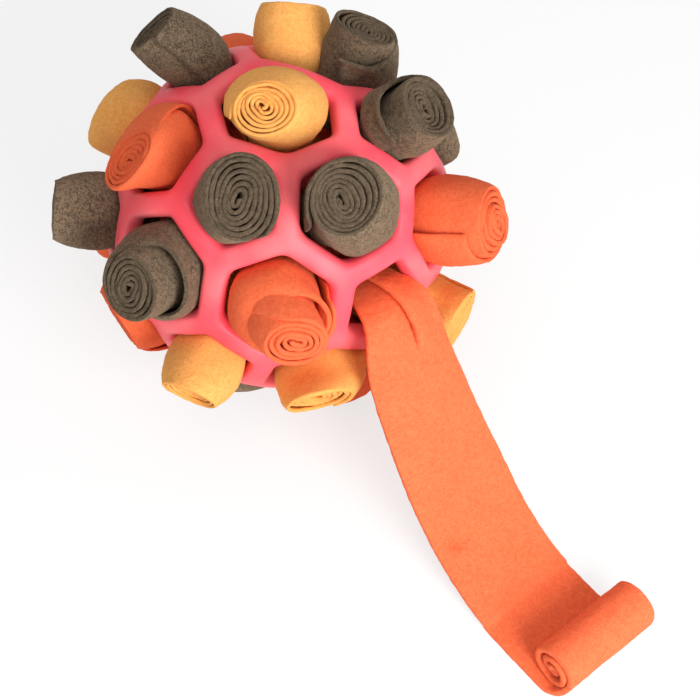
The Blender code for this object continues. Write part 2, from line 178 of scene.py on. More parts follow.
# The rolls in the solid part's order: azimuth and height of the hole, colour, share of the full stand-out,
# lean east and up in degrees, and share of the full end face. A few lean or reach a little otherwise than
# their firm solids, as cloth does.
ROLLS = [
    ((0, 90), "yellow", 0.87, -3, -11.5, 0.84),
    ((-23, 52), "brown", 1.00, 5.5, 2, 1.20),
    ((97, 52), "brown", 1.00, -3.5, 4, 1.18),
    ((217, 52), "brown", 0.98, 6, -1.5, 0.98),
    ((37, 48), "brown", 0.96, -7, 6.5, 1.00),
    ((277, 48), "orange", 0.75, 11.5, 1, 0.92),
    ((-1, 19), "orange", 0.83, 4.5, -0.5, 1.05),
    ((75, 19), "orange", 0.96, -3, 2, 1.05),
    ((119, 19), "brown", 0.50, 0, -4, 1.00),
    ((195, 19), "orange", 0.42, 0, -4, 1.00),
    ((240, 19), "yellow", 0.70, 3, -4, 1.00),
    ((315, 19), "brown", 0.91, 4.5, 3.5, 1.05),
    ((157, 11), "orange", 0.90, 0, -3, 1.00),
    ((277, 11), "brown", 1.02, 7, 8, 0.94),
    ((-23, -11), "yellow", 0.86, 1, 6, 0.94),
    ((97, -11), "yellow", 0.90, -3, 2, 1.00),
    ((217, -11), "brown", 0.90, 3, 3, 1.00),
    ((15, -19), "yellow", 0.60, -4, 11, 0.95),
    ((59, -19), "yellow", 0.60, -1, 11, 1.00),
    ((135, -19), "brown", 0.90, 2, 2, 1.00),
    ((179, -19), "yellow", 0.90, -3, 2, 1.00),
    ((255, -19), "orange", 0.50, 2, 0, 1.00),
    ((299, -19), "orange", 0.28, 2, 4, 1.00),
    ((97, -48), "orange", 0.48, 0, 2, 1.00),
    ((217, -48), "yellow", 0.48, 2, 2, 1.00),
    ((-23, -48), "brown", 0.15, -8, 0, 1.00),
]

# The two rolls that share one hole: colour, side, and then as above
DOUBLE_ROLLS = [
    ("yellow", 1.0, 0.62, 0, -1, 1.05),
    ("brown", -1.0, 0.72, -1.5, 9.5, 1.05),
]

# The rolls that the ball stands on, beside the orange one at the very bottom
FEET = [((37, -52), "orange"), ((157, -52), "brown"), ((277, -52), "yellow")]

# How each roll is wound, where it isn't wound in the usual way: turns, flap is where its outer end lies,
# bowl lifts its core above its rim in metres, drawn is the turns of its outside that lie back and how far,
# oval is the way in which its end is longer and by what share, swell is the way in which its outer turns
# billow and by what share, ragged is how unevenly its turns end, face is how far its end tilts against its
# lean, and tucked rolls have their outer wrap drawn over their end.
WINDING = {
    1: {"turns": 6.8, "flap": 190, "bowl": 0.0006, "oval": (20, 0.06)},
    2: {"turns": 7.2, "flap": -38, "bowl": -0.0008, "oval": (112, 0.10)},
    3: {"turns": 6.7, "flap": 150, "bowl": -0.0035, "drawn": (0.45, 0.010), "ragged": 0.0010,
        "swell": (95, 0.22)},
    4: {"turns": 7.0, "flap": 60, "bowl": -0.0030, "face": 2.6},
    5: {"turns": 7.2, "flap": 175, "bowl": -0.0014, "oval": (25, 0.06)},
    6: {"turns": 6.8, "flap": 120, "bowl": -0.0012, "drawn": (0.25, 0.003), "face": -0.7},
    7: {"turns": 6.6, "flap": 25, "drawn": (1.8, 0.012), "swell": (100, 0.16), "bowl": 0.0020},
    8: {"turns": 6.6, "flap": 150, "bowl": 0.0045, "ragged": 0.0016, "drawn": (0.30, 0.004)},
    9: {"tucked": True},
    11: {"tucked": True},
    12: {"turns": 6.8, "flap": 210, "drawn": (0.90, 0.013), "bowl": -0.0006, "swell": (20, 0.20)},
    14: {"flap": 250, "bowl": -0.0030, "face": -0.7},
    15: {"flap": 250, "bowl": -0.0030, "face": -1.6},
    18: {"turns": 6.8, "flap": -60, "ragged": 0.0022, "bowl": -0.0040, "face": 0.1},
    27: {"turns": 7.0, "face": 10.0},
    28: {"turns": 7.0, "flap": 100, "drawn": (0.40, 0.011), "bowl": -0.0010, "swell": (30, 0.18)},
}

# The usual way. Its turns, bowl, flap and oval differ from roll to roll.
USUAL_WINDING = {
    "drawn": (0.2, 0.001), "swell": (0, 0.0), "ragged": 0.0009, "face": END_TILT_SHARE, "tucked": False,
}
USUAL_TURNS = 6.9
TURNS_PLAY = 0.5
BOWL_PLAY = 0.0012
OVAL_SHARE = 0.04

# Colours as light scatters from them: the lit pile, a darker copy of it that is painted shade in the pile's
# dips and along cut edges, and the flecks in it
FLEECES = {
    "brown": ((0.180, 0.126, 0.080), (0.060, 0.043, 0.028), (0.340, 0.255, 0.170)),
    "orange": ((0.830, 0.156, 0.060), (0.740, 0.115, 0.042), (0.900, 0.215, 0.092)),
    "yellow": ((0.870, 0.420, 0.118), (0.760, 0.320, 0.075), (0.930, 0.520, 0.185)),
}
SHEENS = {"brown": 0.40, "orange": 0.20, "yellow": 0.20}
FLECK_SHARE = 0.45
WORN_SHARE = 0.25
CUT_FIBRE_AND_PAINTED_SHADE = 0.55  # how much darker the colour is along a cut edge: partly darker fibre at the cut, partly painted shade in the grooves between turns
PILE_DEPTH = 0.0007

# The rubber: its red, where it is paler, and the dust on it
RUBBER_REDS = [(0.940, 0.082, 0.115), (0.980, 0.155, 0.175), (0.970, 0.300, 0.300)]
DUST_SHARE = 0.15
SCUFF_DEPTH = 0.00006

WHITE = (1.0, 1.0, 1.0, 1.0)
FLOOR_PAINT = (0.85, 0.85, 0.85, 1.0)
FLOOR_GLOW = 0.72  # share of plain white in what the camera sees of the floor; the rest takes the shadows
WORLD_LIGHT = 0.56

# Lamps: azimuth, height, distance, size and power
LAMPS = {"key": (30, 26, 0.95, 0.50, 10.0), "top": (-20, 70, 1.1, 0.80, 2.8)}

# The camera, as the ball's centre sees it
VIEW_HEIGHT = 50.67
VIEW_DISTANCE = 0.7125
VIEW_SENSOR = 36.0
VIEW_LENS = 84.73
VIEW_SHIFT = (0.1027, -0.1936)


def direction(azimuth, height):
    """The unit vector at an azimuth and a height above the horizon, both in degrees."""
    a = math.radians(azimuth)
    h = math.radians(height)
    return Vector((math.cos(h) * math.sin(a), -math.cos(h) * math.cos(a), math.sin(h)))


def local_axes(axis, azimuth):
    """A rotation whose Z is the axis, whose X points east and whose Y points up."""
    a = math.radians(azimuth)
    east = Vector((math.cos(a), math.sin(a), 0))
    east = (east - axis * east.dot(axis)).normalized()
    return Matrix((east, axis.cross(east), axis)).transposed().to_4x4()


def ease(share):
    share = min(max(share, 0.0), 1.0)
    return share * share * (3 - 2 * share)


def stretched(point):
    """A direction from the ball's centre, moved as two rolls in one hole stretch the rubber."""
    axis = direction(*DOUBLE_HOLE)
    turned = local_axes(axis, DOUBLE_HOLE[0])
    east, north = turned.col[0].to_3d(), turned.col[1].to_3d()
    unit = point.normalized()
    pull = math.exp(-((unit.angle(axis) / STRETCH_REACH) ** 2))
    along = STRETCH_ALONG_SHARE * unit.dot(east) + STRETCH_SHIFT_SHARE
    across = STRETCH_ACROSS_SHARE * unit.dot(north)
    return (unit + east * (pull * along) + north * (pull * across)).normalized()


def hole_sides(corners):
    """For each side of a hole, the unit vector across it that points into the hole."""
    inward = sum(corners, Vector())
    sides = []
    for first, second in zip(corners, corners[1:] + corners[:1]):
        side = first.cross(second).normalized()
        sides.append(side if side.dot(inward) > 0 else -side)
    return sides


def hole_middle(start, sides):
    """The direction farthest from every side."""
    axis = start
    step, slower = CENTRING_SHARES
    for _ in range(CENTRING_STEPS):
        nearest = min(sides, key=lambda side: side.dot(axis))
        axis = (axis + nearest * step).normalized()
        step *= slower
    return axis


def hole_layout():
    """Twelve five-sided and twenty six-sided faces round the wall's middle, and their holes."""
    bm = bmesh.new()
    bmesh.ops.create_icosphere(bm, subdivisions=1, radius=WALL_MIDDLE)
    top = max(bm.faces, key=lambda face: face.calc_center_median().z)
    upright = top.calc_center_median().rotation_difference(Vector((0, 0, 1)))
    bmesh.ops.rotate(bm, verts=bm.verts[:], matrix=upright.to_matrix())
    corner = top.verts[0].co
    spin = math.radians(TOP_HOLE_CORNER_AZIMUTH) - math.atan2(corner.x, -corner.y)
    bmesh.ops.rotate(bm, verts=bm.verts[:], matrix=Matrix.Rotation(spin, 3, "Z"))
    third = bm.edges[:][0].calc_length() / 3
    bmesh.ops.bevel(
        bm, geom=bm.verts[:], offset=third, offset_type="OFFSET", segments=1,
        profile=0.5, affect="VERTICES", material=-1,
    )
    places = [face.calc_center_median().normalized() for face in bm.faces]
    for vert in bm.verts:
        vert.co = stretched(vert.co) * WALL_MIDDLE
    holes = []
    for place, face in zip(places, bm.faces):
        sides = hole_sides([vert.co for vert in face.verts])
        holes.append({"place": place, "axis": hole_middle(place, sides), "sides": sides})
    return bm, holes


def hole_at(holes, azimuth, height):
    wanted = direction(azimuth, height)
    return max(holes, key=lambda hole: hole["place"].dot(wanted))


def clear_radius(hole, axis):
    """The radius of the round body that passes the hole along the axis, at the wall's middle."""
    least = min(side.dot(axis) for side in hole["sides"])
    return WALL_MIDDLE * least - RIB_WIDTH / 2 - SEAT_GAP


class Value:
    """One output of a material's node, on which sums can be written."""

    def __init__(self, finish, socket):
        self.finish = finish
        self.socket = socket

    def reckon(self, operation, first, second):
        return self.finish.node("ShaderNodeMath", {"operation": operation}, {0: first, 1: second})

    def __add__(self, other):
        return self.reckon("ADD", self, other)

    def __radd__(self, other):
        return self.reckon("ADD", other, self)

    def __mul__(self, other):
        return self.reckon("MULTIPLY", self, other)

    def __rmul__(self, other):
        return self.reckon("MULTIPLY", other, self)


class Finish:
    """A material being made. Steady values go straight to the shader's own sockets."""

    def __init__(self, name, steady):
        self.material = bpy.data.materials.new(name)
        self.material.use_nodes = True
        self.nodes = self.material.node_tree.nodes
        self.links = self.material.node_tree.links
        self.shader = self.nodes["Principled BSDF"]
        for socket, value in steady.items():
            self.shader.inputs[socket].default_value = value

    def fill(self, socket, value):
        if isinstance(value, Value):
            self.links.new(value.socket, socket)
        else:
            socket.default_value = value

    def node(self, kind, settings=None, inputs=None, output=0):
        made = self.nodes.new(kind)
        for key, value in (settings or {}).items():
            setattr(made, key, value)
        for key, value in (inputs or {}).items():
            self.fill(made.inputs[key], value)
        return Value(self, made.outputs[output])

    def cloud(self, place, size, detail, roughness):
        """Soft noise whose patches are about the given size."""
        spots = {"Vector": place, "Scale": 1 / size, "Detail": detail, "Roughness": roughness}
        return self.node("ShaderNodeTexNoise", {}, spots)

    def step(self, value, low, high):
        """Nought below low, one above high, and smooth between."""
        settings = {"interpolation_type": "SMOOTHSTEP"}
        inputs = {"Value": value, "From Min": low, "From Max": high}
        return self.node("ShaderNodeMapRange", settings, inputs)

    def blend(self, share, first, second):
        inputs = {"Factor": share, "A": first, "B": second}
        made = self.nodes.new("ShaderNodeMix")
        made.data_type = "RGBA"
        for socket in made.inputs:
            if socket.enabled and socket.name in inputs:
                self.fill(socket, inputs[socket.name])
        return Value(self, next(out for out in made.outputs if out.enabled))

    def colour(self, value):
        self.fill(self.shader.inputs["Base Color"], value)

    def roughness(self, value):
        self.fill(self.shader.inputs["Roughness"], value)

    def relief(self, height, depth, strength):
        inputs = {"Height": height, "Distance": depth, "Strength": strength}
        bump = self.node("ShaderNodeBump", {}, inputs)
        self.fill(self.shader.inputs["Normal"], bump)


def solid_colour(rgb):
    return (*rgb, 1.0)


def fleece_finish(name, colour):
    """Brushed fleece: short matted pile with pills, flecks of lighter fibre, painted shade in the pile's
    dips, and cut edges darkened partly as darker fibre and partly as painted shade between turns.
    """
    lit, painted_pile_shade, fleck = (solid_colour(rgb) for rgb in FLEECES[colour])
    finish = Finish(name, {
        "Roughness": 0.95, "Sheen Weight": SHEENS[colour], "Sheen Roughness": 0.5, "Sheen Tint": fleck,
        "Specular IOR Level": 0.10,
    })
    place = finish.node("ShaderNodeTexCoord", output="Object")
    fibre = finish.cloud(place, size=0.00075, detail=3.0, roughness=0.65)
    pill = finish.cloud(place, size=0.0021, detail=2.0, roughness=0.6)
    patch = finish.cloud(place, size=0.012, detail=2.0, roughness=0.5)
    pile = fibre * 0.66 + pill * 0.34
    # Painted shade: where the pile's bump dips, the colour goes to the darker, shaded copy of the lit pile
    base = finish.blend(finish.step(pile, low=0.40, high=0.58), painted_pile_shade, lit)
    spots = finish.step(fibre * 0.75 + patch * 0.25, low=0.56, high=0.68)
    base = finish.blend(spots * FLECK_SHARE, base, fleck)
    worn = finish.step(patch, low=0.35, high=0.70)
    base = finish.blend(worn * WORN_SHARE, base, lit)
    # Along the cut edges the colour darkens towards the shaded pile copy: partly darker fibre, partly
    # painted shade in the grooves between the turns
    cut = finish.node("ShaderNodeAttribute", {"attribute_name": "cut_edge"}, output="Fac")
    finish.colour(finish.blend(finish.step(cut, low=0.35, high=0.95) * CUT_FIBRE_AND_PAINTED_SHADE, base, painted_pile_shade))
    finish.relief(pile, depth=PILE_DEPTH, strength=0.75)
    return finish.material


def rubber_finish(name):
    """Soft moulded rubber: satin, with a faint bloom and fine scuffs."""
    finish = Finish(name, {
        "Roughness": 0.42, "Specular IOR Level": 0.30, "Subsurface Weight": 0.12,
        "Subsurface Scale": 0.004, "Subsurface Radius": (1.0, 0.35, 0.30),
    })
    red, pale, dust = (solid_colour(rgb) for rgb in RUBBER_REDS)
    place = finish.node("ShaderNodeTexCoord", output="Object")
    broad = finish.cloud(place, size=0.030, detail=2.0, roughness=0.5)
    bloom = finish.cloud(place, size=0.006, detail=4.0, roughness=0.6)
    grain = finish.cloud(place, size=0.0008, detail=2.0, roughness=0.5)
    base = finish.blend(finish.step(broad, low=0.35, high=0.65), red, pale)
    finish.colour(finish.blend(finish.step(bloom, low=0.55, high=0.80) * DUST_SHARE, base, dust))
    finish.roughness(0.38 + bloom * 0.14)
    finish.relief(grain * 0.6 + bloom * 0.4, depth=SCUFF_DEPTH, strength=0.5)
    return finish.material


def finished_mesh(obj, lift=0.0, floor=None, seed=0.0):
    """The object's mesh with its modifiers done, its pile raised unevenly, and nothing below the floor."""
    bpy.context.view_layer.update()
    mesh = bpy.data.meshes.new_from_object(obj.evaluated_get(bpy.context.evaluated_depsgraph_get()))
    count = len(mesh.vertices)
    points = np.empty(count * 3)
    normals = np.empty(count * 3)
    mesh.vertices.foreach_get("co", points)
    mesh.vertices.foreach_get("normal", normals)
    points = points.reshape(-1, 3)
    normals = normals.reshape(-1, 3)
    if lift:
        away = Vector((seed, seed * 0.7, seed * 0.3))
        broad, fine = NAP_PATCHES
        rise = []
        for point in map(Vector, points):
            fibres = NAP_FINE_SHARE * noise.noise(point / fine - away)
            rise.append(noise.noise(point / broad + away) + fibres)
        points = points + normals * (np.array(rise)[:, None] * lift)
    if floor is not None:
        points[:, 2] = np.maximum(points[:, 2], floor)
    mesh.vertices.foreach_set("co", points.ravel())
    mesh.shade_smooth()
    mesh.update()
    return mesh


def new_piece(name, mesh, finish):
    piece = bpy.data.objects.new(name, mesh)
    bpy.context.scene.collection.objects.link(piece)
    mesh.materials.clear()
    mesh.materials.append(finish)
    return piece


def working_object(name, bm):
    mesh = bpy.data.meshes.new(name)
    bm.to_mesh(mesh)
    bm.free()
    obj = bpy.data.objects.new(name, mesh)
    bpy.context.scene.collection.objects.link(obj)
    return obj


def add_subdivision(obj, levels):
    smooth = obj.modifiers.new("smooth", "SUBSURF")
    smooth.levels = levels
    smooth.render_levels = levels


def make_lattice(bm, centre, finish):
    """The rubber: ribs from bevelled edges, given a wall, rounded along their corners, and smoothed."""
    bmesh.ops.bevel(
        bm, geom=bm.edges[:], offset=RIB_WIDTH / 2, offset_type="OFFSET", segments=1,
        profile=0.5, affect="EDGES", material=-1,
    )
    wide = [face for face in bm.faces if len(face.verts) > 4]
    bmesh.ops.delete(bm, geom=wide, context="FACES")
    rims = [edge for edge in bm.edges if edge.is_boundary]
    bmesh.ops.subdivide_edges(bm, edges=rims, cuts=2, use_grid_fill=True)
    for vert in bm.verts:
        vert.co = vert.co.normalized() * WALL_MIDDLE
    cage = working_object("lattice_cage", bm)
    wall = cage.modifiers.new("wall", "SOLIDIFY")
    wall.thickness = WALL
    wall.offset = 0
    corners = cage.modifiers.new("corners", "BEVEL")
    corners.width = RIB_ROUNDING
    corners.segments = 2
    corners.limit_method = "ANGLE"
    corners.angle_limit = math.radians(SHARP_CORNER)
    add_subdivision(cage, 2)
    mesh = finished_mesh(cage)
    bpy.data.objects.remove(cage, do_unlink=True)
    mesh.transform(Matrix.Translation(centre))
    return new_piece("lattice", mesh, finish)


def roll_levels(room, full, reach, lean):
    """The roll's lean, how far out its belly is, and its radius in the rubber, at its belly and inside."""
    angle = math.radians(math.hypot(*lean))
    belly_reach = WALL_MIDDLE + (reach - WALL_MIDDLE) * BELLY_SHARE
    shift = belly_reach * math.tan(angle) * BELLY_LEAN_SHARE
    inside, outside = WALL_MIDDLE - ROLL_INNER_REACH, belly_reach - WALL_MIDDLE
    neck = room - shift * inside / (inside + outside)
    belly = min(full, neck + outside * FLARE_SHARE)
    inner = neck - (belly - neck) * inside / outside
    neck = max(neck, room - RIM_SLACK)
    inner = max(inner, neck * INNER_SHARE)
    return {"angle": angle, "belly_reach": belly_reach, "neck": neck, "belly": belly, "inner": inner}


def hole_edge(hole, axis, way):
    """How far the hole's edge is from the axis in a direction, at the wall's middle."""
    faced = [side for side in hole["sides"] if -side.dot(way) > LEAST_SLOPE]
    return min((WALL_MIDDLE * side.dot(axis) - RIB_WIDTH / 2) / -side.dot(way) for side in faced)


def roll_style(number):
    """How a roll is wound: in the usual way, a little different from roll to roll, or as WINDING says."""
    own = {
        "turns": USUAL_TURNS + TURNS_PLAY * noise.noise(Vector((number * 3.7, 0, 0))),
        "bowl": BOWL_PLAY * noise.noise(Vector((0, number * 2.3, 0))),
        "flap": number * FLAP_STEP,
        "oval": (number * OVAL_STEP, OVAL_SHARE),
    }
    return {**USUAL_WINDING, **own, **WINDING.get(number, {})}


class WoundRoll:
    """A strip wound about seven times: narrow inside the ball, held by the ribs, swelling above them.

    A place on its cloth is a turn, counted from the core, and a share of the way up the roll.
    """

    def __init__(self, number, row):
        small = len(row["hole"]["sides"]) == 5 or row["room"] < ROLL_RADIUS
        room = min(row["room"], clear_radius(row["hole"], row["axis"])) + SEAT_GAP + PRESS
        lean = row["lean"]
        self.number = number
        self.hole = row["hole"]
        self.axis = row["axis"]
        self.reach = row["reach"]
        self.full = SMALL_ROLL_RADIUS if small else ROLL_RADIUS
        self.style = roll_style(number)
        self.turns = self.style["turns"]
        self.steps = round(self.turns * STEPS_A_TURN)
        self.hand = 1 if number % 2 else -1
        self.levels = roll_levels(room, self.full, self.reach, lean)
        self.end = self.levels["belly"] * END_RADIUS_SHARE * row["end_share"]
        self.pitch = self.full / (CORE_SHARE + self.turns + SPARE_TURN)
        self.inmost = max(self.reach - ROLL_LENGTH, DEEPEST_REACH)
        self.turned = local_axes(self.axis, row["azimuth"])
        self.upright = self.turned.to_3x3()
        self.lean_way = Vector((*lean, 0)).normalized() if self.levels["angle"] else Vector((1, 0, 0))
        self.tilt_axis = Vector((0, 0, 1)).cross(self.lean_way)

    def far(self, up):
        """The distance from the ball's centre."""
        return self.inmost + (self.reach - self.inmost) * up

    def out(self, turn):
        """The turn's share of the way from the middle to the outside."""
        return (CORE_SHARE + turn) / (CORE_SHARE + self.turns)

    def over(self, far):
        """How free of the rubber the cloth is there."""
        return ease((far - WALL_MIDDLE) / (self.reach - WALL_MIDDLE))

    def spread(self, far):
        """The roll's outside against its fullest: held in the rubber, full above it, rounded off."""
        levels = self.levels
        if far < WALL_MIDDLE:
            share = max(far - ROLL_INNER_REACH, 0) / (WALL_MIDDLE - ROLL_INNER_REACH)
            radius = levels["inner"] + (levels["neck"] - levels["inner"]) * share
        elif far < levels["belly_reach"]:
            share = (far - WALL_MIDDLE) / (levels["belly_reach"] - WALL_MIDDLE)
            radius = levels["neck"] + (levels["belly"] - levels["neck"]) * (1 - (1 - share) ** 2)
        else:
            share = (far - levels["belly_reach"]) / (self.reach - levels["belly_reach"])
            radius = levels["belly"] + (self.end - levels["belly"]) * share**2
        return radius / self.full

    def ring(self, turn, far, angle, way):
        """How far the cloth is from the roll's middle, in the hole's corners and where it billows too."""
        levels = self.levels
        out, over = self.out(turn), self.over(far)
        ring = self.pitch * (CORE_SHARE + turn) * self.spread(far)
        corner = min(hole_edge(self.hole, self.axis, self.upright @ way) / levels["neck"], CORNER_LIMIT)
        grip = ease(1 - abs(far - WALL_MIDDLE) / (levels["belly_reach"] - WALL_MIDDLE) / GRIP_SHARE)
        ring *= 1 + (corner - 1) * CORNER_FILL * grip * out * out
        oval_way, oval = self.style["oval"]
        ring *= 1 + oval * over * math.cos(2 * (angle - math.radians(oval_way)))
        squashed = angle - self.number * SQUASH_STEP - CORE_TWIST * turn / self.turns
        ring *= 1 + CORE_SQUASH * (1 - out) ** CORE_FADE * over * math.cos(2 * squashed)
        swell_way, swell = self.style["swell"]
        billow = max(math.cos(angle - math.radians(swell_way)), 0)
        billow *= ease((turn - self.turns + LOOSE_TURNS) / LOOSE_TURNS)
        ring *= 1 + swell * billow * ease((far - WALL_MIDDLE + SWELL_START) / SWELL_RISE)
        spot = Vector((way.x * UNEVEN_ROUND, way.y * UNEVEN_ROUND, turn * UNEVEN_ALONG + self.number))
        return ring + self.pitch * UNEVEN_SHARE * over * noise.noise(spot)

    def lift(self, turn, up):
        """How far the cloth lies above its even height: bowed, ragged, and drawn back."""
        drawn_turns, drawn = self.style["drawn"]
        ragged = self.style["ragged"]
        lift = self.style["bowl"] * (1 - self.out(turn) ** 2)
        for share, waves, step in EDGE_WAVES:
            lift += share * ragged * noise.noise(Vector((turn * waves, self.number * step, 0)))
        lift -= drawn * ease((turn - self.turns + drawn_turns) / EDGE_TURNS)
        return lift * up**3

    def tuck(self, turn, up):
        """A tucked roll's end: the share of the ring that is left, the lift, and how closed it is."""
        wrap = ease((turn - self.turns + TUCKED_TURNS) / EDGE_TURNS)
        over_end = min(max((up - TUCK_START) / (1 - TUCK_START), 0), 1)
        quarter = math.radians(TUCK_ANGLE) * over_end * wrap
        under = min(math.degrees(math.acos(min(self.out(turn), 1.0))) / TUCK_ANGLE, 1.0)
        lift = wrap * (TUCK_BULGE * (math.sin(quarter) - over_end) - TUCK_DIMPLE * over_end**3)
        lift -= (1 - wrap) * (TUCK_DEPTH * (1 - under) + TUCK_CLEARANCE) * up**3
        return math.cos(quarter), lift, ease(over_end) * wrap

    def place(self, turn, up):
        """Where the cloth is, from the roll's seat and in its own axes."""
        far = self.far(up)
        angle = math.radians(self.style["flap"]) + self.hand * math.tau * (turn - self.turns)
        way = Vector((math.cos(angle), math.sin(angle), 0))
        ring = self.ring(turn, far, angle, way)
        height = far + self.lift(turn, up)
        if self.style["tucked"]:
            left, lift, _ = self.tuck(turn, up)
            ring *= left
            height += lift
        leaned = (max(far - WALL_MIDDLE, 0) / (self.reach - WALL_MIDDLE)) ** LEAN_RISE
        tilt = self.levels["angle"] * self.style["face"] * leaned
        aside = self.lean_way * (self.reach * math.tan(self.levels["angle"]) * leaned)
        slip_angle = self.number * SLIP_STEP
        slip = Vector((math.cos(slip_angle), math.sin(slip_angle), 0)) * (self.full * CORE_SLIP)
        slip = slip * (1 - self.out(turn)) * self.over(far)
        moved = Matrix.Translation(aside + slip + Vector((0, 0, height - WALL_MIDDLE)))
        return moved @ Matrix.Rotation(tilt, 4, self.tilt_axis) @ (way * ring)

    def thickness(self, turn, up):
        """The cloth's share of its full thickness: less where it is held, at its end and where it closes."""
        thick = self.spread(self.far(up))
        thick *= THICKNESS_MEAN + THICKNESS_PLAY * noise.noise(Vector((turn * 2.1, self.number * 1.9, 0.5)))
        thick *= 1 - END_THINNING * ease(1 - (1 - turn / self.turns) * self.steps / END_STEPS)
        if self.style["tucked"]:
            thick *= 1 - TUCK_THINNING * self.tuck(turn, up)[2]
        return thick


def add_cloth(obj, thickness):
    cloth = obj.modifiers.new("cloth", "SOLIDIFY")
    cloth.thickness = thickness
    cloth.offset = 0
    return cloth


def make_fleece_roll(roll, colour, centre, seat, finish):
    """The roll's cloth from a flat grid that is wound up, given its thickness and set in its hole."""
    bm = bmesh.new()
    bmesh.ops.create_grid(bm, x_segments=roll.steps, y_segments=ROLL_ROWS, size=1.0)
    weights = bm.verts.layers.deform.verify()
    cut = bm.verts.layers.float.new("cut_edge")
    for vert in bm.verts:
        turn = (vert.co.x + 1) / 2 * roll.turns
        up = 1 - ((1 - vert.co.y) / 2) ** ROW_CROWDING
        vert[cut] = float(max(vert.co.x, vert.co.y) > CUT_EDGE)
        vert[weights][0] = roll.thickness(turn, up)
        vert.co = roll.place(turn, up)
    bmesh.ops.recalc_face_normals(bm, faces=bm.faces[:])
    wound = working_object(f"fleece_roll_{roll.number:02d}_form", bm)
    wound.vertex_groups.new(name="cloth")
    cloth = add_cloth(wound, roll.pitch * CLOTH_SHARE)
    cloth.vertex_group = "cloth"
    cloth.edge_crease_inner = EDGE_CREASE
    cloth.edge_crease_outer = EDGE_CREASE
    add_subdivision(wound, 1)
    home = centre + roll.axis * WALL_MIDDLE
    wound.data.transform(Matrix.Translation(home.lerp(seat, SEAT_SHARE)) @ roll.turned)
    mesh = finished_mesh(wound, NAP, 0.0, roll.number * SEED_STEP)
    bpy.data.objects.remove(wound, do_unlink=True)
    piece = new_piece(f"fleece_roll_{roll.number:02d}", mesh, finish)
    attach(piece, f"roll_{roll.number:02d}")
    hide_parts(f"roll_{roll.number:02d}_{colour}")


def smooth_route(knots):
    """Points close together on the smooth curve through the knots."""
    knots = [knots[0] * 2 - knots[1]] + knots + [knots[-1] * 2 - knots[-2]]
    fine = []
    for before, here, there, after in zip(knots, knots[1:], knots[2:], knots[3:]):
        for t in np.linspace(0, 1, ROUTE_STEPS, endpoint=False):
            bent = before * 2 - here * 5 + there * 4 - after
            rest = here * 3 - before - there * 3 + after
            fine.append((here * 2 + (there - before) * t + bent * t**2 + rest * t**3) / 2)
    fine.append(knots[-2])
    return fine


def strip_line(rest_height):
    """The middle line of the open strip: hanging, lying, and rolled up at its end."""
    flat = CLOTH / 2 - rest_height
    last, aside, low = STRIP_ROUTE[-1]
    route = STRIP_ROUTE + [(last + (low - flat) * 2, aside, flat), (END_ROLL_REACH, aside, flat)]
    fine = smooth_route([Vector((BALL_RADIUS + away, right, up)) for away, right, up in route])
    pitch = CLOTH + END_ROLL_GAP
    outer = END_ROLL_RADIUS - CLOTH / 2
    for i in range(round(END_TURNS * STEPS_A_TURN)):
        turn = (i + 1) / STEPS_A_TURN
        radius = outer - pitch * turn
        up = flat + outer - radius * math.cos(math.tau * turn)
        drift = END_DRIFT * ease(turn / DRIFT_TURNS) + END_SWAY * math.sin(turn * 4.0)
        away = BALL_RADIUS + END_ROLL_REACH + radius * math.sin(math.tau * turn)
        fine.append(Vector((away, aside + drift, up)))
    fine = np.array([tuple(point) for point in fine])
    fine[:, 2] = np.maximum(fine[:, 2], flat)
    return fine


def smoothed(values):
    window = np.ones(2 * STRIP_SMOOTHING + 1) / (2 * STRIP_SMOOTHING + 1)
    return np.convolve(np.pad(values, STRIP_SMOOTHING, mode="edge"), window, mode="valid")


def strip_profile(reach, seen):
    """The strip's cross-section there, as wide as seen: how far right and how high each sample is."""
    samples = np.linspace(-STRIP_WIDTH / 2, STRIP_WIDTH / 2, STRIP_SAMPLES)
    from_fold = samples - STRIP_FOLD
    pleat = (STRIP_WIDTH - seen) / 2 * (1 - ease((reach - PLEAT_END) / PLEAT_OPENING))
    run = np.ones_like(samples)
    run[np.abs(from_fold) < pleat / 2] = -1
    across = smoothed(np.cumsum(run) * (samples[1] - samples[0]))
    layer = np.clip((from_fold + pleat / 2) / max(pleat, 1e-6), 0, 1)
    fade = np.clip(1 - (from_fold - pleat / 2) / FOLD_FADE, 0, 1)
    rise = smoothed(STRIP_FOLD_RISE * min(pleat / FOLD_FULL, 1.0) * layer * fade * fade * (3 - 2 * fade))
    across -= (across.max() + across.min()) / 2
    wide = across.max() - across.min()
    rise -= ARCH_SHARE * max(wide - seen, 0.0) * np.abs(across / (wide / 2)) ** ARCH_POWER
    return across * min(seen / wide, 1.0), rise


